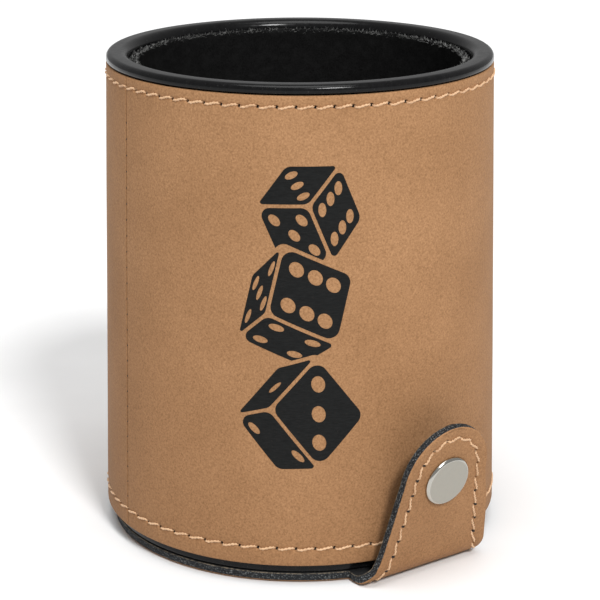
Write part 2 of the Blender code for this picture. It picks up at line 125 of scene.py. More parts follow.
class Nodes:
    """A short way to write a material's nodes."""

    def __init__(self, name):
        self.material = bpy.data.materials.new(name)
        self.material.use_nodes = True
        self.tree = self.material.node_tree
        self.shader = self.tree.nodes["Principled BSDF"]
        own_place = self.add("TexCoord", {}).outputs["Object"]
        scale = self.add("VectorMath", {0: own_place}, operation="SCALE")
        self.feed(scale.inputs["Scale"], 1 / MM)
        self.place = scale.outputs[0]

    def add(self, kind, inputs, **settings):
        """A new node with its settings, and a link or a value for each of its inputs."""
        node = self.tree.nodes.new("ShaderNode" + kind)
        for name, value in settings.items():
            setattr(node, name, value)
        for name, value in inputs.items():
            self.feed(node.inputs[name], value)
        return node

    def feed(self, socket, value):
        if isinstance(value, bpy.types.NodeSocket):
            self.tree.links.new(value, socket)
        else:
            socket.default_value = value

    def give(self, **values):
        """Feed the shader's sockets, with _ for a space in their names, and give the material."""
        for name, value in values.items():
            self.feed(self.shader.inputs[name.replace("_", " ")], value)
        return self.material

    def stretched(self, stretch):
        return self.add("VectorMath", {0: self.place, 1: stretch}, operation="MULTIPLY").outputs[0]

    def noise(self, size, detail=3.0, roughness=0.5, stretch=None):
        """Noise whose features are about the given size in millimetres."""
        place = self.stretched(stretch) if stretch else self.place
        inputs = {"Vector": place, "Scale": 1.0 / size, "Detail": detail, "Roughness": roughness}
        return self.add("TexNoise", inputs).outputs["Fac"]

    def cells(self, size):
        """Cell distances for pebbled grain of the given size in millimetres."""
        inputs = {"Vector": self.place, "Scale": 1.0 / size}
        return self.add("TexVoronoi", inputs).outputs["Distance"]

    def height(self, span):
        """Height above the floor as a share of a span in millimetres."""
        up = self.add("SeparateXYZ", {0: self.place}).outputs["Z"]
        return self.add("Math", {0: up, 1: span}, operation="DIVIDE").outputs[0]

    def ramp(self, factor, *stops):
        """Colours, or greys given as one number, at positions along a factor."""
        node = self.add("ValToRGB", {"Fac": factor})
        elements = node.color_ramp.elements
        while len(elements) < len(stops):
            elements.new(0.5)
        for element, (position, colour) in zip(elements, stops):
            element.position = position
            element.color = (*([colour] * 3 if isinstance(colour, float) else colour), 1.0)
        return node.outputs["Color"]

    def mix(self, factor, first, second, mode="MIX"):
        """Mix two colours. The second may be a plain (red, green, blue)."""
        if isinstance(second, tuple):
            second = (*second, 1.0)
        node = self.add("Mix", {}, data_type="RGBA", blend_type=mode)
        # a colour mix keeps its factor and its two colours in these sockets
        for socket, value in zip((0, 6, 7), (factor, first, second)):
            self.feed(node.inputs[socket], value)
        return node.outputs[2]

    def bump(self, *layers):
        """Stacked bump layers of (height, depth in mm)."""
        normal = None
        for height, depth in layers:
            inputs = {"Strength": 1.0, "Distance": depth * MM, "Height": height}
            if normal:
                inputs["Normal"] = normal
            normal = self.add("Bump", inputs).outputs["Normal"]
        self.give(Normal=normal)

    def roughness(self, factor, low, high):
        self.give(Roughness=self.ramp(factor, (0.3, low), (0.7, high)))


def tan_leather():
    """Fine-grained leatherette, mottled at about half a millimetre and clouded more broadly, with painted
    shade darkening it towards the bottom.
    """
    n = Nodes("tan_leatherette")
    clouds = n.noise(17.0, 3.0, 0.55)
    tone = n.ramp(clouds, (0.3, (0.335, 0.176, 0.082)), (0.7, (0.384, 0.206, 0.099)))
    mottle = n.noise(0.4, 4.0, 0.75)
    mottled = n.ramp(mottle, (0.3, (0.66, 0.63, 0.58)), (0.5, 1.0), (0.7, (1.3, 1.33, 1.37)))
    tone = n.mix(1.0, tone, mottled, "MULTIPLY")
    # painted shade: the leather is darkened towards the bottom, as light from above would leave it
    foot = n.ramp(n.height(100.0), (0.0, (0.82, 0.8, 0.78)), (0.45, (0.94, 0.93, 0.92)), (0.8, 1.0))
    n.give(Base_Color=n.mix(1.0, tone, foot, "MULTIPLY"))
    n.roughness(mottle, 0.6, 0.75)
    n.bump((n.noise(6.0, 2.0), 0.10), (n.cells(0.55), 0.035), (mottle, 0.045))
    return n.give(Specular_IOR_Level=0.12)


def print_ink():
    """Engraved black, with the fine level lines that the engraving leaves."""
    n = Nodes("engraved_black")
    lines = n.noise(0.2, 2.0, 0.5, (0.15, 0.15, 1.0))
    grain = n.noise(0.5, 4.0, 0.7)
    tone = n.ramp(lines, (0.3, (0.009, 0.0093, 0.0093)), (0.75, (0.0155, 0.016, 0.016)))
    n.give(Base_Color=n.mix(n.ramp(grain, (0.6, 0.0), (0.75, 1.0)), tone, (0.026, 0.023, 0.02)))
    n.roughness(grain, 0.7, 0.85)
    n.bump((lines, 0.03), (grain, 0.04))
    return n.give(Specular_IOR_Level=0.08)


def black_plastic():
    """Moulded tub: glossy, with hairline scuffs and specks of dust."""
    n = Nodes("moulded_black_plastic")
    scuffs = n.noise(1.4, 5.0, 0.7, (1.0, 1.0, 0.25))
    dust = n.ramp(n.noise(0.4, 2.0), (0.70, 0.0), (0.76, 1.0))
    tone = n.ramp(scuffs, (0.35, (0.004, 0.004, 0.0042)), (0.7, (0.007, 0.007, 0.0073)))
    n.give(Base_Color=n.mix(dust, tone, (0.05, 0.05, 0.048)))
    n.roughness(scuffs, 0.13, 0.24)
    n.bump((n.noise(5.0, 2.0), 0.06), (scuffs, 0.008))
    return n.give(Specular_IOR_Level=0.18)


def black_felt():
    """Matted wool: clumps, and fine fibres lying every way."""
    n = Nodes("black_felt")
    fibres = n.noise(0.3, 6.0, 0.8)
    clumps = n.noise(2.2, 3.0, 0.6)
    tone = n.ramp(fibres, (0.35, 0.004), (0.75, 0.016))
    n.give(Base_Color=n.mix(n.ramp(clumps, (0.45, 0.0), (0.8, 0.5)), tone, (0.02, 0.02, 0.02)))
    n.bump((clumps, 0.25), (fibres, 0.2))
    return n.give(Roughness=0.97, Specular_IOR_Level=0.04)


def felt_fuzz():
    """Loose fibre ends of the black felt, coloured grey as a painted highlight where they catch the light."""
    n = Nodes("felt_fibre_painted_highlight")
    # painted highlight: black felt fibres made grey to show the light they catch
    n.give(Base_Color=n.ramp(n.noise(0.8, 2.0), (0.35, 0.05), (0.65, (0.32, 0.32, 0.31))))
    n.bump((n.noise(0.1, 2.0), 0.01))
    return n.give(Roughness=0.9, Specular_IOR_Level=0.2)


def sewing_thread():
    """Peach thread: fine fibres, and darker stretches where it is worn."""
    n = Nodes("peach_thread")
    fibres = n.noise(0.09, 3.0, 0.6)
    wear = n.noise(2.6, 2.0, 0.5)
    tone = n.ramp(fibres, (0.3, (0.52, 0.30, 0.155)), (0.65, (0.80, 0.54, 0.33)))
    n.give(Base_Color=n.mix(n.ramp(wear, (0.5, 0.0), (0.72, 0.55)), tone, (0.45, 0.25, 0.13)))
    n.bump((fibres, 0.03))
    return n.give(Roughness=0.6, Specular_IOR_Level=0.35, Sheen_Weight=0.25, Sheen_Roughness=0.4)


def black_edge():
    """Cut edges painted black over rough fibre, with pale nubs where the paint missed."""
    n = Nodes("painted_cut_edge")
    rough = n.noise(0.45, 4.0, 0.7)
    nubs = n.ramp(n.noise(0.3, 2.0, 0.6), (0.56, 0.0), (0.66, 1.0))
    tone = n.ramp(rough, (0.35, (0.004, 0.0045, 0.0055)), (0.7, (0.026, 0.029, 0.033)))
    n.give(Base_Color=n.mix(nubs, tone, (0.19, 0.2, 0.2)))
    n.roughness(rough, 0.55, 0.85)
    n.bump((rough, 0.3), (n.noise(0.16, 2.0), 0.08))
    return n.give(Specular_IOR_Level=0.25)


def fringe():
    """The line of pale fibre along a cut edge, broken by paint."""
    n = Nodes("edge_fibre")
    breaks = n.noise(0.55, 3.0, 0.7)
    n.give(Base_Color=n.ramp(breaks, (0.42, (0.035, 0.033, 0.03)), (0.58, (0.21, 0.17, 0.12))))
    n.bump((breaks, 0.15))
    return n.give(Roughness=0.85, Specular_IOR_Level=0.2)


def black_backing():
    """The black fabric-backed inside of the leatherette."""
    n = Nodes("black_backing")
    weave = n.noise(0.28, 3.0, 0.6)
    n.give(Base_Color=n.ramp(weave, (0.35, (0.007, 0.007, 0.0075)), (0.7, (0.022, 0.022, 0.023))))
    n.roughness(n.noise(4.0), 0.62, 0.8)
    n.bump((n.cells(0.5), 0.06), (weave, 0.08))
    return n.give(Specular_IOR_Level=0.35)


def grey_board():
    """Recycled board: grey pulp with darker and lighter flecks."""
    n = Nodes("pulp_board")
    pulp = n.noise(1.1, 5.0, 0.7)
    tone = n.ramp(pulp, (0.3, (0.12, 0.115, 0.10)), (0.7, (0.24, 0.23, 0.205)))
    flecks = n.ramp(n.noise(0.35, 2.0), (0.68, 0.0), (0.74, 1.0))
    n.give(Base_Color=n.mix(flecks, tone, (0.05, 0.048, 0.045)))
    n.bump((pulp, 0.08))
    return n.give(Roughness=0.92, Specular_IOR_Level=0.2)


def nickel(name, base, low, high):
    """Plated metal with a brushed haze and faint scratches."""
    n = Nodes(name)
    haze = n.noise(0.9, 4.0, 0.6)
    scratches = n.noise(0.12, 3.0, 0.7, (1.0, 0.2, 0.2))
    darker = tuple(0.93 * value for value in base)
    n.give(Base_Color=n.ramp(haze, (0.3, darker), (0.7, base)))
    n.roughness(haze, low, high)
    n.bump((scratches, 0.004))
    return n.give(Metallic=1.0)


def pale_floor():
    n = Nodes("studio_paper")
    n.give(Base_Color=n.ramp(n.noise(40.0, 3.0), (0.3, 0.86), (0.7, 0.9)))
    return n.give(Roughness=0.85, Specular_IOR_Level=0.2)


LEATHER = tan_leather()
INK = print_ink()
PLASTIC = black_plastic()
FELT = black_felt()
FUZZ = felt_fuzz()
THREAD = sewing_thread()
EDGE = black_edge()
FRINGE = fringe()
BACKING = black_backing()
BOARD = grey_board()
SATIN = nickel("satin_nickel", (0.41, 0.395, 0.35), 0.36, 0.46)
POLISHED = nickel("polished_nickel", (0.52, 0.505, 0.46), 0.12, 0.2)


# ---- mesh helpers


def add_object(name, corners, faces, materials, slots=None, matrix=None, closed=True):
    """Make an object from corners in millimetres, with a material slot for each face."""
    mesh = bpy.data.meshes.new(name)
    mesh.from_pydata([tuple(value * MM for value in corner) for corner in corners], [], faces)
    for material in materials:
        mesh.materials.append(material)
    if slots:
        mesh.polygons.foreach_set("material_index", slots)
    if matrix:
        mesh.transform(matrix)
    if closed:
        face_outwards(mesh)
    return in_scene(name, smoothed(mesh, 50.0))


def face_outwards(mesh, merge=0.0):
    """Turn all faces outwards, after joining corners closer than a distance."""
    work = bmesh.new()
    work.from_mesh(mesh)
    if merge:
        bmesh.ops.remove_doubles(work, verts=work.verts, dist=merge)
    bmesh.ops.recalc_face_normals(work, faces=work.faces)
    work.to_mesh(mesh)
    work.free()


def smoothed(mesh, sharp_degrees):
    mesh.shade_smooth()
    mesh.set_sharp_from_angle(angle=radians(sharp_degrees))
    return mesh


def in_scene(name, data):
    """A new object in the scene."""
    obj = bpy.data.objects.new(name, data)
    bpy.context.scene.collection.objects.link(obj)
    return obj


def evaluated_mesh(obj):
    """A mesh of an object as its curve or modifiers leave it."""
    bpy.context.view_layer.update()
    graph = bpy.context.evaluated_depsgraph_get()
    return bpy.data.meshes.new_from_object(obj.evaluated_get(graph))


def tube_faces(first, levels, sides, closed=False):
    """Faces between the rings of a tube whose corners start at a number. closed joins its ends."""
    rings = [range(first + level * sides, first + (level + 1) * sides) for level in range(levels + 1)]
    faces = []
    for ring, below in zip(rings, rings[1:] + rings[:1] if closed else rings[1:]):
        for turn in range(sides):
            after = (turn + 1) % sides
            faces.append((ring[turn], ring[after], below[after], below[turn]))
    return faces


def end_faces(first, levels, sides):
    """The two faces that close such a tube."""
    last = first + levels * sides
    return [tuple(reversed(range(first, first + sides))), tuple(range(last, last + sides))]


def outward(azimuth):
    """The level direction away from the cup's axis at an azimuth."""
    return Vector((sin(azimuth), -cos(azimuth), 0.0))


def arc(centre_x, centre_z, radius, start, end, steps):
    """Points on an arc. Angles are in degrees from +X towards +Z."""
    points = []
    for step in range(steps + 1):
        angle = radians(start + (end - start) * step / steps)
        points.append((centre_x + radius * cos(angle), centre_z + radius * sin(angle)))
    return points


def turned(name, profile, segments, materials, slot_of=None, closed=False, shape=None, matrix=None):
    """Turn a profile of (radius, height) round Z. shape moves a point of (radius, angle, height)."""
    corners = []
    rings = []
    for radius, height in profile:
        count = segments if radius > 0.001 else 1
        ring = []
        for index in range(count):
            angle = tau * index / segments
            r, z = shape(radius, angle, height) if shape and count > 1 else (radius, height)
            ring.append(len(corners))
            corners.append((r * sin(angle), -r * cos(angle), z))
        rings.append(ring)
    faces = []
    slots = []
    below = rings[1:] + rings[:1] if closed else rings[1:]
    for row, (upper, lower) in enumerate(zip(rings, below)):
        for index in range(segments):
            after = (index + 1) % segments
            if len(upper) == 1:
                face = (upper[0], lower[index], lower[after])
            elif len(lower) == 1:
                face = (upper[index], lower[0], upper[after])
            else:
                face = (upper[index], lower[index], lower[after], upper[after])
            faces.append(face)
            slots.append(slot_of(row) if slot_of else 0)
    return add_object(name, corners, faces, materials, slots, matrix)


def wall_radius(height, inset=0.0):
    """Radius of the wrap's outer face at a height, or of a face further in."""
    return WRAP_LOW_RADIUS - TAPER * (height - WRAP_BOTTOM) - inset


def wall_line(inset, heights):
    """Points of a profile along a face of the wall."""
    return [(wall_radius(height, inset), height) for height in heights]


def between(low, high, steps):
    return [low + (high - low) * step / steps for step in range(steps + 1)]


def smoothstep(value):
    value = min(max(value, 0.0), 1.0)
    return value * value * (3 - 2 * value)


def bell(value, power=2):
    return exp(-(value ** power))


def unit_circle(sides):
    """The (cosine, sine) of equal turns round a circle."""
    return [(cos(tau * turn / sides), sin(tau * turn / sides)) for turn in range(sides)]


# ---- tub and felt


def make_tub():
    """The moulded tub with its rolled rim, its floor and the store below."""
    rim_bottom = WRAP_TOP + GAP
    floor_bottom = FLOOR_TOP - FLOOR_THICKNESS
    rim_round, rim_inner_round = 1.1, 1.8
    inner_start = HEIGHT - rim_inner_round
    inner_centre = wall_radius(inner_start, BORE_INSET) + rim_inner_round
    outer_side = wall_radius(rim_bottom)
    skirt = wall_radius(TUB_BOTTOM, TUB_INSET)
    fillet = 1.5
    bore_floor = wall_radius(FLOOR_TOP, BORE_INSET)
    store_roof = wall_radius(floor_bottom, BORE_INSET)
    profile = [(0.0, FLOOR_TOP), (bore_floor / 2, FLOOR_TOP), (bore_floor, FLOOR_TOP)]
    profile += wall_line(BORE_INSET, between(FLOOR_TOP + 8, 90, 6))
    profile += arc(inner_centre, inner_start, rim_inner_round, 180, 90, 12)
    profile += arc(outer_side - rim_round, HEIGHT - rim_round, rim_round, 90, 0, 12)
    profile += [(outer_side, rim_bottom + 0.15), (outer_side - 0.15, rim_bottom)]
    profile += wall_line(TUB_INSET, (rim_bottom, 60.0, 20.0, TUB_BOTTOM + 1.0))
    profile += arc(skirt - 0.4, TUB_BOTTOM + 0.4, 0.4, 0, -90, 5)
    profile += [(wall_radius(TUB_BOTTOM, BORE_INSET) + 0.3, TUB_BOTTOM)]
    profile += [(wall_radius(TUB_BOTTOM, BORE_INSET), TUB_BOTTOM + 0.3)]
    profile += arc(store_roof - fillet, floor_bottom - fillet, fillet, 0, 90, 5)
    profile += [(store_roof / 2, floor_bottom), (0.0, floor_bottom)]

    def ripple(radius, angle, height):
        """Moulding leaves the rim very slightly out of true."""
        wave = 0.05 * noise.noise(Vector((cos(angle) * 1.3, sin(angle) * 1.3, 4.0)))
        share = smoothstep((height - rim_bottom) / 1.5)
        return radius, height + wave * share

    tub = turned("moulded_tub", profile, 240, [PLASTIC], shape=ripple)
    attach(tub, "cup")
    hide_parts("cup_shell")


def fibres(name, places, length, thickness):
    """Bent fibre ends, as thin three-sided tapers. A place is (root, direction)."""
    corners = []
    faces = []
    for root, direction in places:
        side = direction.orthogonal().normalized()
        other = direction.cross(side).normalized()
        bend = (side * chance.uniform(-1, 1) + other * chance.uniform(-1, 1)) * 0.6
        reach = length * chance.uniform(0.5, 1.3)
        first = len(corners)
        for step, width in ((0.0, 1.0), (0.5, 0.8), (0.85, 0.45)):
            centre = root + direction * reach * step + bend * reach * step * step
            for c, s in unit_circle(3):
                corners.append(centre + (side * c + other * s) * thickness * width)
        corners.append(root + direction * reach + bend * reach)
        faces += tube_faces(first, 2, 3)
        faces += [(first + 6 + turn, first + 6 + (turn + 1) % 3, first + 9) for turn in range(3)]
        faces.append((first + 2, first + 1, first))
    return add_object(name, corners, faces, [FUZZ])


def make_wall_felt():
    """The felt on the wall, with a cut top edge that frays."""
    bottom = FLOOR_TOP + GAP
    outer = BORE_INSET + 0.08
    inner = BORE_INSET + GAP + FELT_THICKNESS
    top = FELT_TOP
    profile = wall_line(outer, (top - 0.25, 60.0, bottom))
    profile += wall_line(inner, [bottom] + between(30.0, top - 2.5, 26) + [top - 1.2, top - 0.5])
    profile += [(wall_radius(top, inner - 0.15), top - 0.12), (wall_radius(top, inner - 0.45), top)]
    profile += [(wall_radius(top, outer + 0.35), top - 0.02)]

    def matted(radius, angle, height):
        place = outward(angle) * radius + Vector((0.0, 0.0, height))
        lumps = noise.noise(place * 0.35) * 0.10 + noise.noise(place * 1.1) * 0.05
        fray = smoothstep((height - top + 1.0) / 1.0)
        rise = fray * (noise.noise(place * 0.9) * 0.22 + noise.noise(place * 0.25) * 0.18)
        inside = radius < wall_radius(height, outer + 0.2)
        return radius + (lumps if inside else 0.0), height + rise

    lining = turned("felt_wall", profile, 360, [FELT], closed=True, shape=matted)
    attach(lining, "cup")
    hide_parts("wall_lining")

    places = []
    for _ in range(3600):
        angle = chance.uniform(0.0, tau)
        out = outward(angle)
        share = chance.random() ** 1.4
        root = out * wall_radius(top, inner - 0.1 - share * 1.0)
        root.z = top - 0.25 + chance.uniform(-0.5, 0.1) * (1 - share)
        tilt = Vector((chance.uniform(-1, 1), chance.uniform(-1, 1), chance.uniform(0.1, 1.2)))
        places.append((root, (tilt - out * 0.5).normalized()))
    fuzz = fibres("felt_edge_fibres", places, 0.75, 0.04)
    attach(fuzz, "cup")


def felt_disc(name, radius, bottom, top, body, node):
    """A felt disc with a soft edge and a lumpy nap."""
    profile = [(0.0, top)] + [(radius * share, top) for share in between(0.04, 0.96, 23)]
    profile += arc(radius - 0.35, top - 0.35, 0.35, 70, 0, 3)
    profile += [(radius, bottom + 0.1), (radius - 0.1, bottom), (radius / 2, bottom), (0.0, bottom)]

    def nap(r, angle, height):
        place = Vector((sin(angle) * r, -cos(angle) * r, height))
        lumps = noise.noise(place * 0.3) * 0.08 + noise.noise(place * 1.0) * 0.05
        return r, height + (min(lumps, 0.06) if height > bottom + 0.2 else 0.0)

    disc = turned(name, profile, 144, [FELT], shape=nap)
    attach(disc, body)
    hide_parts(node)


def make_felt_discs():
    low, high = box_mm("floor_lining")
    felt_disc("felt_floor", high.x, low.z - GAP + 0.05, high.z, "cup", "floor_lining")
    low, high = box_mm("base_lining")
    felt_disc("felt_store_lining", high.x, low.z - GAP + 0.05, high.z, "base_flap", "base_lining")


# ---- wrap and its stitches


def sag(azimuth, height):
    """Slight unevenness of leather stretched over the tub."""
    place = Vector((sin(azimuth) * 1.6, -cos(azimuth) * 1.6, height / 26.0))
    return 0.05 * noise.noise(place)


def wrap_point(azimuth, height, lift):
    """A point on the wrap's outer face, or above it."""
    radius = wall_radius(height) + sag(azimuth, height) + lift
    return Vector((radius * sin(azimuth), -radius * cos(azimuth), height))


def wrap_columns():
    """Azimuths of the wrap's columns, close together where a needle hole is."""
    shares = (-0.13, -0.085, -0.045, 0.0, 0.045, 0.085, 0.13, 0.21, 0.31, 0.42, 0.53, 0.64, 0.75)
    columns = []
    for stitch in range(STITCHES_ROUND):
        for share in shares:
            columns.append((SEAM_AZIMUTH + (stitch + share) * STITCH_ANGLE, stitch, share))
    return columns


def wrap_relief(stitch, share, height):
    """How far the surface is drawn in by the thread, the needle holes and the seam."""
    pitch = tau * wall_radius(height) / STITCHES_ROUND
    along = share * pitch if share < 0.5 else (share - 1) * pitch
    depth = 0.0
    for row in (TOP_ROW, BOTTOM_ROW):
        off = height - row
        pucker = 0.10 + 0.10 * bell(along / 0.8)
        depth += pucker * bell(off / 0.55)
        hole = hypot(along + 0.12, off / 0.9)
        depth += 0.8 * bell(hole / 0.33, 4)
    at_seam = stitch == 0 and share < 0.5 or stitch == STITCHES_ROUND - 1 and share > 0.5
    if at_seam:
        depth += 0.6 * bell(along / 0.14) - 0.07 * bell((along - 0.5) / 0.3)
    return depth


def near_row(height):
    return min(abs(height - TOP_ROW), abs(height - BOTTOM_ROW)) < 0.25


def make_wrap():
    """The leather wrap: butted at a seam, its edges rounded and its stitch rows drawn in."""
    near = (-1.3, -0.85, -0.6, -0.42, -0.28, -0.14, 0.0, 0.14, 0.28, 0.42, 0.6, 0.85, 1.3)
    edge = 0.35
    heights = [WRAP_TOP - edge] + [TOP_ROW + offset for offset in reversed(near)]
    heights += list(reversed(between(BOTTOM_ROW + 2.6, TOP_ROW - 2.6, 40)))
    heights += [BOTTOM_ROW + offset for offset in reversed(near)] + [WRAP_BOTTOM + edge]
    columns = wrap_columns()
    rings = []

    def add_ring(height, inset_of):
        rings.append([wrap_point(azimuth, height, -inset_of(s, f)) for azimuth, s, f in columns])

    def round_edge(end, step, angles):
        for angle in angles:
            inset = edge * (1 - cos(radians(angle)))
            add_ring(end + step * (1 - sin(radians(angle))), lambda s, f, i=inset: i)

    round_edge(WRAP_TOP, -edge, (90.0, 60.0, 30.0))
    first_row = len(rings)
    for height in heights:
        add_ring(height, lambda s, f, h=height: wrap_relief(s, f, h))
    round_edge(WRAP_BOTTOM, edge, (30.0, 60.0, 90.0))
    outer_rings = len(rings)
    middles = [(upper + lower) / 2 for upper, lower in zip(heights, heights[1:])]
    hole_rows = [first_row + row for row, middle in enumerate(middles) if near_row(middle)]
    for height in (WRAP_BOTTOM, WRAP_TOP):
        add_ring(height, lambda s, f: WRAP_THICKNESS)
    corners = sum(rings, [])
    faces = tube_faces(0, len(rings) - 1, len(columns), closed=True)
    slots = []
    for row in range(len(rings)):
        for _, _, share in columns:
            # painted shade: the faces at each needle hole take the black backing, darkening the holes
            in_hole = row in hole_rows and abs(share + 0.04) < 0.06
            slots.append(1 if row >= outer_rings - 1 or in_hole else 0)
    wrap = add_object("leather_wrap", corners, faces, [LEATHER, BACKING], slots)
    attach(wrap, "cup")
    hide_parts("outer_wrap")


def twisted_stitch(corners, faces, start, end, surface, slant):
    """Add one stitch of two-ply thread that dips into the holes at its ends."""
    steps, sides, plies = 24, 12, 2
    run = Vector((end[0] - start[0], end[1] - start[1]))
    length = run.length
    across = Vector((-run.y, run.x)) / length
    first = len(corners)
    path = []
    for step in range(steps + 1):
        share = step / steps
        lean = slant * (share - 0.5) - 0.10 * sin(share * tau)
        at = Vector(start) + run * share + across * lean
        edge = abs(2 * share - 1)
        lift = THREAD_RADIUS * 0.62 - 0.62 * edge ** 9 + 0.03 * cos(share * tau * 1.5)
        path.append(surface(at.x, at.y, lift))
    for step, centre in enumerate(path):
        ahead = path[min(step + 1, steps)] - path[max(step - 1, 0)]
        ahead.normalize()
        at = Vector(start) + run * (step / steps)
        side = ahead.cross(surface(at.x, at.y, 1.0) - surface(at.x, at.y, 0.0)).normalized()
        out = side.cross(ahead).normalized()
        twist = tau * 2.2 * step / steps
        for turn in range(sides):
            angle = tau * turn / sides
            radius = THREAD_RADIUS * (1 + 0.36 * cos(plies * (angle - twist)))
            corners.append(centre + (side * cos(angle) + out * sin(angle)) * radius)
    faces += tube_faces(first, steps, sides) + end_faces(first, steps, sides)


def make_wrap_stitches(name, row, node):
    """One row of stitches round the wrap."""
    corners = []
    faces = []
    radius = wall_radius(row)

    def surface(across, height, lift):
        return wrap_point(SEAM_AZIMUTH + across / radius, height, lift - 0.12)

    for stitch in range(STITCHES_ROUND):
        wobble = chance.uniform(-0.06, 0.06)
        slant = 0.3 + chance.uniform(-0.1, 0.12)
        start = (stitch * STITCH_ANGLE * radius + 0.18, row + wobble - 0.03)
        end = ((stitch + 1) * STITCH_ANGLE * radius - 0.42, row + wobble + 0.03)
        twisted_stitch(corners, faces, start, end, surface, slant)
    sewing = add_object(name, corners, faces, [THREAD])
    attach(sewing, "cup")
    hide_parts(node)


def make_seam_ticks():
    """Small dark bodies drawn across the seam at each stitch below the surface: painted shade for the seam's
    dark needle holes.
    """
    corners = []
    faces = []
    step = 3.3
    count = int((TOP_ROW - BOTTOM_ROW - 4) / step)
    for index in range(count):
        height = BOTTOM_ROW + 3 + index * step
        centre = wrap_point(SEAM_AZIMUTH, height, -0.05)
        side = Vector((cos(SEAM_AZIMUTH), sin(SEAM_AZIMUTH), 0.0))
        out = outward(SEAM_AZIMUTH)
        first = len(corners)
        for share, width in ((-1.0, 0.1), (-0.5, 0.9), (0.0, 1.0), (0.5, 0.9), (1.0, 0.1)):
            at = centre + side * 0.17 * share - out * 0.1 * share * share
            for c, s in unit_circle(6):
                corners.append(at + (out * (0.12 * c) + Vector((0.0, 0.0, 0.2 * s))) * width)
        faces += tube_faces(first, 4, 6) + end_faces(first, 4, 6)
    # painted shade: dark bodies standing in for the shade in the seam's needle holes
    ticks = add_object("seam_hole_painted_shade", corners, faces, [BACKING])
    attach(ticks, "cup")


# ---- printed dice


PIP_ROWS = (0.25, 0.52, 0.78)
PIP_RADIUS = 0.105
FACE_GAP = 0.36
DIE_MARGIN = 0.8
DICE = (
    # the nearest corner, the six outer corners in turn (across, up), and the pips on the three faces
    (
        (1.7, 78.1),
        ((-8.5, 78.0), (-2.7, 85.8), (7.7, 85.8), (12.0, 75.4), (6.3, 67.1), (-3.5, 67.0)),
        (3, 6, 5),
    ),
    (
        (-6.5, 56.6),
        ((7.1, 50.5), (10.2, 64.0), (-3.4, 70.1), (-9.3, 64.2), (-12.2, 51.7), (0.2, 46.5)),
        (6, 5, 4),
    ),
    (
        (-5.9, 37.2),
        ((3.2, 47.8), (12.6, 35.5), (3.6, 25.0), (-4.3, 24.8), (-12.7, 35.4), (-4.3, 45.7)),
        (-3, -2, 1),
    ),
)


def pip_places(count):
    """Where the pips are on a face, in shares of its edges. A negative count mirrors them."""
    low, mid, high = PIP_ROWS
    corners = [(low, low), (high, high), (low, high), (high, low)]
    patterns = {
        1: [(mid, mid)],
        2: corners[:2],
        3: corners[:2] + [(mid, mid)],
        4: corners,
        5: corners + [(mid, mid)],
        6: [(place, side) for place in PIP_ROWS for side in (low, high)],
    }
    places = patterns[abs(count)]
    if count < 0:
        places = [(low + high - first, second) for first, second in places]
    return places


def on_face(face, place):
    """A point on a four-cornered face, in shares of the edges from its first corner."""
    first, second = place
    near_edge = face[0].lerp(face[1], first)
    far_edge = face[3].lerp(face[2], first)
    return near_edge.lerp(far_edge, second)


def rounded(corners, insets, sharp_radius, wide_radius):
    """An outline with each edge moved in by its inset, and rounded corners, tighter on sharp ones."""
    centre = sum(corners, Vector((0.0, 0.0))) / len(corners)
    lines = []
    for index, inset in enumerate(insets):
        start, end = corners[index], corners[(index + 1) % len(corners)]
        along = (end - start).normalized()
        inward = Vector((-along.y, along.x))
        if inward.dot(centre - start) < 0:
            inward.negate()
        lines.append((start + inward * inset, along, inward))
    points = []
    for index in range(len(corners)):
        before, after = lines[index - 1], lines[index]
        turn = before[1].cross(after[1])
        share = (after[0] - before[0]).cross(after[1]) / turn
        corner = before[0] + before[1] * share
        half_angle = (pi - before[1].angle(after[1])) / 2
        radius = sharp_radius + (wide_radius - sharp_radius) * smoothstep((half_angle - 0.42) / 0.25)
        back = radius / tan(half_angle)
        start = corner - before[1] * back
        middle = start + before[2] * radius
        for step in range(9):
            spread = before[2].slerp(after[2], step / 8)
            points.append(middle - spread * radius)
    return points


def die_faces(near, ring):
    """The three faces of a die, each from its nearest corner."""
    return [(near, ring[side], ring[side + 1], ring[(side + 2) % 6]) for side in (0, 2, 4)]


def pip_outline(face, place):
    first, second = place
    around = [(first + PIP_RADIUS * c, second - PIP_RADIUS * s) for c, s in unit_circle(28)]
    return [on_face(face, at) for at in around]


def flat_prism(name, outlines, half_depth):
    """A flat plate from closed outlines in the XY plane, with holes where they nest."""
    curve = bpy.data.curves.new(name, "CURVE")
    curve.dimensions = "2D"
    curve.fill_mode = "BOTH"
    curve.extrude = half_depth
    for outline in outlines:
        spline = curve.splines.new("POLY")
        spline.points.add(len(outline) - 1)
        for point, at in zip(spline.points, outline):
            point.co = (at.x, at.y, 0.0, 1.0)
        spline.use_cyclic_u = True
    guide = in_scene(name, curve)
    mesh = evaluated_mesh(guide)
    bpy.data.objects.remove(guide, do_unlink=True)
    bpy.data.curves.remove(curve)
    face_outwards(mesh, merge=0.0005)
    return in_scene(name, mesh)


def cut_away(plate, outline, half_depth):
    """A plate's mesh without what lies inside an outline."""
    cutter = flat_prism("cutter", [outline], half_depth)
    cut = plate.modifiers.new("cut", "BOOLEAN")
    cut.object = cutter
    cut.operation = "DIFFERENCE"
    cut.solver = "EXACT"
    mesh = evaluated_mesh(plate)
    bpy.data.objects.remove(cutter, do_unlink=True)
    return mesh


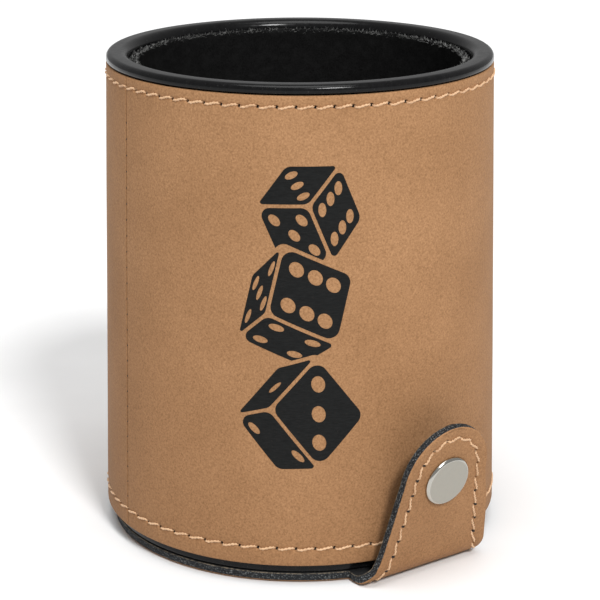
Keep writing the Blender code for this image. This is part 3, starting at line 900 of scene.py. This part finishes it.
def make_print():
    """Three tumbling dice as six-sided figures, thin ink bodies bent to the wrap."""
    thickness = 0.12
    proud, sunk = 0.035, -0.085
    for number, (near, ring, counts) in enumerate(DICE):
        faces = die_faces(Vector(near), [Vector(point) for point in ring])
        work = bmesh.new()
        for face, count in zip(faces, counts):
            outlines = [rounded(face, (FACE_GAP, 0.0, 0.0, FACE_GAP), 0.3, 2.1)]
            outlines += [pip_outline(face, place) for place in pip_places(count)]
            plate = flat_prism("plate", outlines, thickness / 2)
            mesh = plate.data
            if number + 1 < len(DICE):
                in_front = [Vector(point) for point in DICE[number + 1][1]]
                mesh = cut_away(plate, rounded(in_front, [-DIE_MARGIN] * 6, 0.9, 1.9), thickness)
            work.from_mesh(mesh)
            bpy.data.objects.remove(plate, do_unlink=True)
        left = min(vert.co.x for vert in work.verts)
        right = max(vert.co.x for vert in work.verts)
        for x in between(left, right, int((right - left) / 0.8))[1:-1]:
            everything = work.verts[:] + work.edges[:] + work.faces[:]
            bmesh.ops.bisect_plane(work, geom=everything, plane_co=(x, 0, 0), plane_no=(1, 0, 0), dist=0.0001)
        for vert in work.verts:
            azimuth = MOTIF_AZIMUTH + vert.co.x / MOTIF_RADIUS
            vert.co = wrap_point(azimuth, vert.co.y, proud if vert.co.z > 0 else sunk) * MM
        bmesh.ops.recalc_face_normals(work, faces=work.faces)
        mesh = bpy.data.meshes.new("printed_die")
        work.to_mesh(mesh)
        work.free()
        mesh.materials.clear()
        mesh.materials.append(INK)
        for polygon in mesh.polygons:
            polygon.material_index = 0
        die = in_scene(f"printed_die_{number + 1}", smoothed(mesh, 40.0))
        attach(die, "cup")


# ---- base flap and tab, one sheet


def sheet_point(x, along, depth):
    """A point in the sheet. along is 0 where the bend starts, and depth is in from the outer face."""
    radius = FOLD_RADIUS - depth
    if along <= 0:
        return Vector((x, FOLD_CENTRE_Y - along, depth))
    angle = min(along, BEND_LENGTH) / FOLD_RADIUS
    beyond = max(along - BEND_LENGTH, 0.0)
    y = FOLD_CENTRE_Y - radius * sin(angle) - beyond * cos(angle)
    z = FOLD_RADIUS - radius * cos(angle) + beyond * sin(angle)
    return Vector((x, y, z))


def tab_half_width(height, flare):
    """Half the tab's width at a height above the end of the bend. The flare is at its foot."""
    if height > TAB_ROUND_START:
        share = min((height - TAB_ROUND_START) / TAB_ROUND_HEIGHT, 1.0)
        return TAB_HALF_WIDTH * sqrt(1 - share * share)
    width = TAB_HALF_WIDTH + TAB_TAPER * (TAB_ROUND_START - height)
    return width + flare * exp(-max(height, 0.0) / 1.3)


def sheet_half_width(along, side=-1):
    """Half the sheet's width anywhere along it. The ears at the fold are smaller on the + side."""
    fold = FOLD_HALF_WIDTH if side < 0 else FOLD_HALF_WIDTH - 1.9
    if along <= 0:
        y = FOLD_CENTRE_Y - along
        ear_y = -sqrt(BASE_RADIUS ** 2 - EAR_ROOT ** 2)
        if y < ear_y:
            share = smoothstep((ear_y - y) / (ear_y - FOLD_CENTRE_Y))
            return EAR_ROOT + (fold - EAR_ROOT) * share
        if y > 0 and BASE_RADIUS ** 2 - y * y < HINGE_HALF_WIDTH ** 2:
            return HINGE_HALF_WIDTH
        return sqrt(BASE_RADIUS ** 2 - y * y)
    height = along - BEND_LENGTH
    tab = tab_half_width(max(height, 0.0), 0.5 if side < 0 else 0.0)
    if side > 0:
        tab += 0.9 * smoothstep((TAB_ROUND_START - height) / 10.0)
    if height > 0:
        return tab
    share = smoothstep((along - 0.25 * BEND_LENGTH) / (0.75 * BEND_LENGTH))
    return fold + (tab - fold) * share


def sheet_rows():
    """Where the rows of the sheet's grid lie, from the hinge edge to the tab's tip."""
    rows = [HINGE_EDGE, HINGE_EDGE - 0.5]
    last = asin(HINGE_HALF_WIDTH / BASE_RADIUS)
    first = pi - asin(EAR_ROOT / BASE_RADIUS)
    rows += [BASE_RADIUS * cos(angle) for angle in between(last, first, 90)]
    ear_y = rows[-1]
    rows += between(ear_y, FOLD_CENTRE_Y, 8)[1:-1]
    alongs = [FOLD_CENTRE_Y - y for y in rows]
    alongs += between(0.0, BEND_LENGTH, 26)
    alongs += [BEND_LENGTH + height for height in between(0.0, TAB_ROUND_START, 74)[1:]]
    for angle in between(0.0, 88.5, 60)[1:]:
        alongs.append(BEND_LENGTH + TAB_ROUND_START + TAB_ROUND_HEIGHT * sin(radians(angle)))
    return alongs


def stitch_path():
    """The stitch line in the flat sheet: down one side of the tab, round the base, and up the other."""
    side = []
    ring = BASE_RADIUS - STITCH_INSET - 0.35
    for angle in between(radians(168.0), radians(27.0), 60):
        side.append((ring * sin(angle), FOLD_CENTRE_Y + ring * cos(angle)))
    for along in between(-0.5, BEND_LENGTH + TAB_ROUND_START, 60):
        side.append((sheet_half_width(max(along, 0.0)) - STITCH_INSET, along))
    end = []
    for angle in between(0.0, pi, 40)[1:-1]:
        x = (TAB_HALF_WIDTH - STITCH_INSET) * cos(angle)
        height = (TAB_ROUND_HEIGHT - STITCH_INSET + 0.3) * sin(angle)
        end.append((x, BEND_LENGTH + TAB_ROUND_START + height))
    return side + end + [(-x, along) for x, along in reversed(side)]


def evenly_spaced(path, spacing):
    """Points at equal distances along a path."""
    lengths = [0.0]
    for (x0, y0), (x1, y1) in zip(path, path[1:]):
        lengths.append(lengths[-1] + hypot(x1 - x0, y1 - y0))
    count = round(lengths[-1] / spacing)
    points = []
    index = 0
    for number in range(count + 1):
        at = lengths[-1] * number / count
        while index < len(path) - 2 and lengths[index + 1] < at:
            index += 1
        share = (at - lengths[index]) / max(lengths[index + 1] - lengths[index], 1e-9)
        (x0, y0), (x1, y1) = path[index], path[index + 1]
        points.append((x0 + (x1 - x0) * share, y0 + (y1 - y0) * share))
    return points


def distance_to(path_points, x, along):
    return min(hypot(x - px, along - py) for px, py in path_points)


def make_sheet(holes):
    """The leather sheet that is both base flap and tab, folded up in front."""
    rows = sheet_rows()
    columns = 112
    dense = evenly_spaced(stitch_path(), 0.5)
    tab_holes = [hole for hole in holes if hole[1] > -2]
    tab_line = [point for point in dense if point[1] > -2]
    # the depth of each layer, how far its edge is drawn in, and whether the cut is ragged there
    layers = (
        (0.0, 0.34, False), (0.09, 0.12, False), (0.3, 0.0, True), (0.42, -0.02, True),
        (0.9, 0.02, True), (1.5, -0.03, True), (SHEET - 0.25, 0.0, True),
        (SHEET - 0.08, 0.06, False), (SHEET, 0.22, False),
    )
    last_row, last_layer = len(rows) - 1, len(layers) - 1
    corners = []
    grid = {}

    def corner_at(row, column, layer):
        depth, inset, ragged = layers[layer]
        along = rows[row]
        share = 2 * column / columns - 1
        half = sheet_half_width(along, share)
        ahead = sheet_half_width(along + 0.02, share) if row < last_row else half
        behind = sheet_half_width(along - 0.02, share) if row > 0 else half
        slope = (ahead - behind) / 0.04
        size = hypot(1.0, slope)
        x = share * (half - inset / size)
        edge = abs(share) ** 6
        shift = inset * slope / size * edge
        if row == last_row:
            x = share * half
            shift = -inset
        if row == 0:
            x = share * (half - inset)
            shift = inset
        at = along + shift
        if layer == 0 and 1 < column < columns - 1 and at > -2:
            line = distance_to(tab_line, x, at)
            if line < 1.6:
                depth += 0.13 * bell(line / 0.5)
                hole = distance_to(tab_holes, x, at)
                depth += 0.6 * bell(hole / 0.3, 4)
        uneven = 0.06 * noise.noise(Vector((x, at, 3.0)) * 0.14) if at > 0 else 0.0
        if ragged:
            rough = noise.noise(Vector((x * 1.6, at * 1.6, depth * 2.2 + 9.0))) * 0.09
            x += rough * (1 if share > 0 else -1) * abs(share) ** 12
        return sheet_point(x, at, depth + uneven)

    for layer in range(len(layers)):
        whole = layer in (0, last_layer)
        for row in range(len(rows)):
            for column in range(columns + 1):
                on_edge = row in (0, last_row) or column in (0, columns)
                if whole or on_edge:
                    grid[layer, row, column] = len(corners)
                    corners.append(corner_at(row, column, layer))

    def cell_in_hole(row, column):
        along = (rows[row] + rows[row + 1]) / 2
        x = (2 * (column + 0.5) / columns - 1) * sheet_half_width(along)
        return along > -2 and distance_to(tab_holes, x, along) < 0.27

    faces = []
    slots = []
    outer, cut, fibre, inner = range(4)
    for layer, slot in ((0, outer), (last_layer, inner)):
        for row in range(last_row):
            for column in range(columns):
                cell = ((row, column), (row, column + 1), (row + 1, column + 1), (row + 1, column))
                faces.append(tuple(grid[layer, r, c] for r, c in cell))
                # painted shade: the faces at each needle hole on the tab take the black backing, darkening
                # the holes
                slots.append(inner if cell_in_hole(row, column) else slot)
    boundary = [(0, column) for column in range(columns)]
    boundary += [(row, columns) for row in range(last_row)]
    boundary += [(last_row, column) for column in range(columns, 0, -1)]
    boundary += [(row, 0) for row in range(last_row, 0, -1)]
    for layer, slot in enumerate((outer, outer, cut, cut, cut, cut, fibre, inner)):
        for here, there in zip(boundary, boundary[1:] + boundary[:1]):
            lower = (grid[layer, *here], grid[layer, *there])
            faces.append((*lower, grid[layer + 1, *there], grid[layer + 1, *here]))
            slots.append(slot)
    sheet = add_object("base_flap_and_tab", corners, faces, [LEATHER, EDGE, FRINGE, BACKING], slots)
    bend_across_fold(sheet)
    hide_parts("base_skin", "base_backing", "tab_skin", "tab_backing")


def bend_across_fold(piece):
    """Bake a piece's placement into its mesh."""
    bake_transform(piece)


def make_sheet_stitches(holes):
    """The stitches round the tab, under the fold and round the base, as one thread."""
    corners = []
    faces = []

    def surface(x, along, lift):
        flat = smoothstep((along + 1.0) / 3.0)
        sunk = 0.2 * (1 - flat) + 0.12
        return sheet_point(x, along, sunk - lift)

    for start, end in zip(holes, holes[1:]):
        run = Vector((end[0] - start[0], end[1] - start[1]))
        trim = run.normalized() * 0.24
        begin = (start[0] + trim.x, start[1] + trim.y)
        finish = (end[0] - trim.x, end[1] - trim.y)
        twisted_stitch(corners, faces, begin, finish, surface, 0.45 + chance.uniform(-0.12, 0.12))
    sewing = add_object("flap_and_tab_stitches", corners, faces, [THREAD])
    bend_across_fold(sewing)
    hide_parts("base_thread", "tab_thread")


# ---- hinge strap


def make_hinge_strap():
    """The strap that hangs the base flap: up behind the wrap, and in between the flap's layers."""
    middle = wall_radius(TUB_BOTTOM, TUB_INSET + 0.48)
    offsets = [(-0.3, 16.0), (-0.2, 12.0), (-0.1, 8.0), (0.0, 5.0), (0.05, 3.6), (0.35, 2.8)]
    offsets += [(0.85, 2.2), (1.1, 1.6), (0.85, 1.1), (0.3, 0.95), (-0.5, 0.95), (-1.8, 0.95)]
    route = [(middle + y, z) for y, z in offsets]
    fine = []
    for index in range(len(route) - 1):
        before = route[max(index - 1, 0)]
        start, end = route[index], route[index + 1]
        after = route[min(index + 2, len(route) - 1)]
        for share in between(0.0, 1.0, 4)[:-1]:
            point = []
            for p0, p1, p2, p3 in zip(before, start, end, after):
                a = 2 * p1
                b = (p2 - p0) * share
                c = (2 * p0 - 5 * p1 + 4 * p2 - p3) * share ** 2
                d = (3 * p1 - p0 - 3 * p2 + p3) * share ** 3
                point.append(0.5 * (a + b + c + d))
            fine.append(tuple(point))
    fine.append(route[-1])
    half_thickness = 0.4
    columns = 24
    corners = []
    half = HINGE_HALF_WIDTH - 0.15
    outline = [(share, 1) for share in between(-1.0, 1.0, columns)] + [(1.012, 0.0)]
    outline += [(share, -1) for share in between(1.0, -1.0, columns)] + [(-1.012, 0.0)]
    for index, (y, z) in enumerate(fine):
        ahead = Vector(fine[min(index + 1, len(fine) - 1)]) - Vector(fine[max(index - 1, 0)])
        normal = Vector((-ahead.y, ahead.x)).normalized()
        round_share = smoothstep((z - 1.2) / 2.5) if index < len(fine) - 8 else 0.0
        for share, side in outline:
            x = share * half
            drop = round_share * (middle - sqrt(middle ** 2 - x * x))
            at = Vector((y - drop, z)) + normal * half_thickness * side
            corners.append((x, at.x, at.y))
    levels = len(fine) - 1
    faces = tube_faces(0, levels, len(outline)) + end_faces(0, levels, len(outline))
    outside, cut, inside = [0] * columns, [1, 1], [2] * columns
    slots = (outside + cut + inside + cut) * levels + cut
    strap = add_object("hinge_strap", corners, faces, [LEATHER, EDGE, BACKING], slots)
    start = (0.0, middle + 0.9, 4.2)
    end = (0.0, middle - 0.3, 0.4)
    tuple(v * MM for v in start)
    tuple(v * MM for v in end)
    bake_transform(strap)
    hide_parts("hinge_tongue")


# ---- press stud


def tab_matrix():
    """Local +Y runs up the leaning tab and +Z points out of its face, from the snap's place."""
    turn = Matrix.Rotation(radians(90.0) + LEAN, 4, "X")
    origin = Matrix.Translation(Vector((0.0, FOLD_CENTRE_Y, FOLD_RADIUS)) * MM)
    return origin @ turn @ Matrix.Translation(Vector((0.0, SNAP_HEIGHT, 0.0)) * MM)


def make_snap():
    """The cap, the socket and the stud of the press fastener."""
    cap_radius, face_radius = 5.4, 4.85
    seat = FOLD_RADIUS + 0.02
    top = FOLD_RADIUS + 0.95
    inside = FOLD_RADIUS - SHEET
    profile = [(0.0, top), (1.5, top - 0.01), (3.0, top - 0.03), (face_radius - 0.3, top - 0.07)]
    profile += [(face_radius, top - 0.1), (face_radius + 0.22, top - 0.2), (face_radius + 0.42, top - 0.42)]
    profile += [(cap_radius - 0.03, top - 0.6), (cap_radius, seat + 0.2), (cap_radius - 0.05, seat + 0.08)]
    profile += [(cap_radius - 0.25, seat), (1.1, seat), (1.1, inside - 0.2), (0.0, inside - 0.2)]
    finish = [SATIN, POLISHED]
    cap = turned("snap_cap_polished", profile, 96, finish, lambda row: int(row >= 4), matrix=tab_matrix())
    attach(cap, "snap_tab")
    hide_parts("snap_cap")

    outer_end = inside - 0.05
    inner_end = inside - GAP - 2.1
    profile = [(4.5, outer_end), (4.5, inner_end + 0.6)] + arc(4.0, inner_end + 0.5, 0.5, 0, -90, 4)
    profile += [(3.4, inner_end), (3.2, inner_end + 0.25), (2.9, inner_end + 0.2)]
    profile += arc(2.75, inner_end + 0.45, 0.3, 270, 180, 3) + [(2.4, inner_end + 1.0), (2.6, outer_end)]
    socket = turned("snap_socket_ring", profile, 72, [POLISHED], closed=True, matrix=tab_matrix())
    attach(socket, "snap_tab")
    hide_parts("snap_socket")

    back = Matrix.Translation(Vector((0.0, -STUD_BACK, STUD_Z)) * MM)
    facing_front = back @ Matrix.Rotation(radians(90.0), 4, "X")
    flange, flange_top, neck, head, tip = 4.3, 0.6, 1.7, 1.9, 3.3
    profile = [(0.0, tip - 0.35), (0.7, tip - 0.32), (0.85, tip - 0.05)]
    profile += arc(head - 0.6, tip - 0.6, 0.6, 90, 0, 5) + [(head, tip - 1.0), (neck, flange_top + 0.9)]
    profile += [(neck, flange_top + 0.4), (neck + 0.35, flange_top + 0.08), (3.3, flange_top)]
    profile += [(3.5, flange_top - 0.15), (flange - 0.3, flange_top - 0.2), (flange, 0.2)]
    profile += [(flange - 0.1, 0.0), (0.0, 0.0)]
    stud = turned("snap_stud_plate", profile, 72, [POLISHED], matrix=facing_front)
    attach(stud, "cup")
    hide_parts("snap_stud")


def finish_cad_nodes():
    """Give the CAD nodes that stay their materials."""
    for node, material in (("snap_stud_post", SATIN), ("base_board", BOARD)):
        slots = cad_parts[node].data.materials
        slots.clear()
        slots.append(material)


# ---- studio


def add_soft_light(name, azimuth, elevation, spread, strength):
    """A distant soft light, from a direction in degrees."""
    data = bpy.data.lights.new(name, "SUN")
    data.angle = radians(spread)
    data.energy = strength
    level = outward(radians(azimuth)) * cos(radians(elevation))
    back = level + Vector((0.0, 0.0, sin(radians(elevation))))
    aimed(name, data, back, -back)


def aimed(name, data, place, ahead):
    """A light or camera at a place, looking along a direction."""
    holder = in_scene(name, data)
    holder.location = place
    holder.rotation_mode = "QUATERNION"
    holder.rotation_quaternion = ahead.to_track_quat("-Z", "Y")
    return holder


def make_studio():
    """Pale floor, soft lights, and a camera that looks down a little on the cup's tab side."""
    far = 3000.0
    corners = [(x, y, -0.2) for x, y in ((-far, -far), (far, -far), (far, far), (-far, far))]
    floor = add_object("studio_floor", corners, [(0, 1, 2, 3)], [pale_floor()], closed=False)

    world = bpy.data.worlds.new("studio")
    world.use_nodes = True
    background = world.node_tree.nodes["Background"].inputs
    background["Color"].default_value = (1.0, 1.0, 1.0, 1.0)
    background["Strength"].default_value = 0.37
    bpy.context.scene.world = world

    camera_azimuth = degrees(MOTIF_AZIMUTH)
    add_soft_light("key_light", camera_azimuth + 22, 42, 12, 2.2)
    add_soft_light("top_light", camera_azimuth - 10, 80, 40, 1.5)

    distance, height, pitch, focal_length = 418.6, 175.8, radians(17.1), 123.0
    camera = bpy.data.cameras.new("camera")
    camera.lens = focal_length
    camera.sensor_width = 36.0
    camera.clip_start = 0.01
    away = outward(MOTIF_AZIMUTH)
    place = (away * distance + Vector((0.0, 0.0, height))) * MM
    ahead = -away * cos(pitch) - Vector((0.0, 0.0, sin(pitch)))
    bpy.context.scene.camera = aimed("camera", camera, place, ahead)
    bpy.context.scene.view_settings.view_transform = "Standard"


make_tub()
make_wall_felt()
make_felt_discs()
make_wrap()
make_wrap_stitches("top_stitches", TOP_ROW, "top_edge_thread")
make_wrap_stitches("bottom_stitches", BOTTOM_ROW, "bottom_edge_thread")
make_seam_ticks()
make_print()
needle_holes = evenly_spaced(stitch_path(), STITCH_LENGTH)
make_sheet(needle_holes)
make_sheet_stitches(needle_holes)
make_hinge_strap()
make_snap()
finish_cad_nodes()
make_studio()
